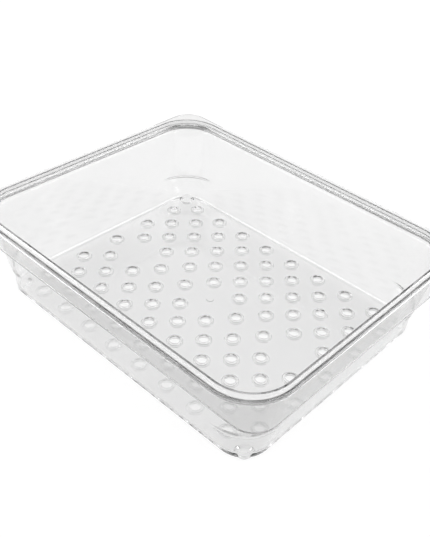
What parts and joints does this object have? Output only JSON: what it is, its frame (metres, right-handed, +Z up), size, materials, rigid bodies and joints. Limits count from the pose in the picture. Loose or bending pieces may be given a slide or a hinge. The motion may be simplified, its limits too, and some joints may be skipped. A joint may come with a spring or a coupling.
{
  "type": "perforated food storage pan",
  "caption": "Clear rectangular food pan with a perforated drain floor, flared walls, stacking ledges, corner feet, a raised lip and a wide hanging flange.",
  "frame": {"origin": "centre of the footprint at the level of the feet", "axes": "+X along the long side, +Y along the short side, +Z up out of the mouth"},
  "size_m": [0.325, 0.265, 0.0822],
  "materials": {
    "clear_plastic": "clear, polished"
  },
  "bodies": {
    "root": {"floor_panel": "clear_plastic", "drain_collars": "clear_plastic", "gate_mark": "clear_plastic", "wall_front": "clear_plastic", "lip_front": "clear_plastic", "flange_front": "clear_plastic", "wall_back": "clear_plastic", "lip_back": "clear_plastic", "flange_back": "clear_plastic", "wall_left": "clear_plastic", "lip_left": "clear_plastic", "flange_left": "clear_plastic", "wall_right": "clear_plastic", "lip_right": "clear_plastic", "flange_right": "clear_plastic", "foot_front_left": "clear_plastic", "corner_low_front_left": "clear_plastic", "stack_ledge_front_left": "clear_plastic", "corner_high_front_left": "clear_plastic", "lip_corner_front_left": "clear_plastic", "flange_corner_front_left": "clear_plastic", "foot_front_right": "clear_plastic", "corner_low_front_right": "clear_plastic", "stack_ledge_front_right": "clear_plastic", "corner_high_front_right": "clear_plastic", "lip_corner_front_right": "clear_plastic", "flange_corner_front_right": "clear_plastic", "foot_back_left": "clear_plastic", "corner_low_back_left": "clear_plastic", "stack_ledge_back_left": "clear_plastic", "corner_high_back_left": "clear_plastic", "lip_corner_back_left": "clear_plastic", "flange_corner_back_left": "clear_plastic", "foot_back_right": "clear_plastic", "corner_low_back_right": "clear_plastic", "stack_ledge_back_right": "clear_plastic", "corner_high_back_right": "clear_plastic", "lip_corner_back_right": "clear_plastic", "flange_corner_back_right": "clear_plastic"}
  },
  "joints": []
}
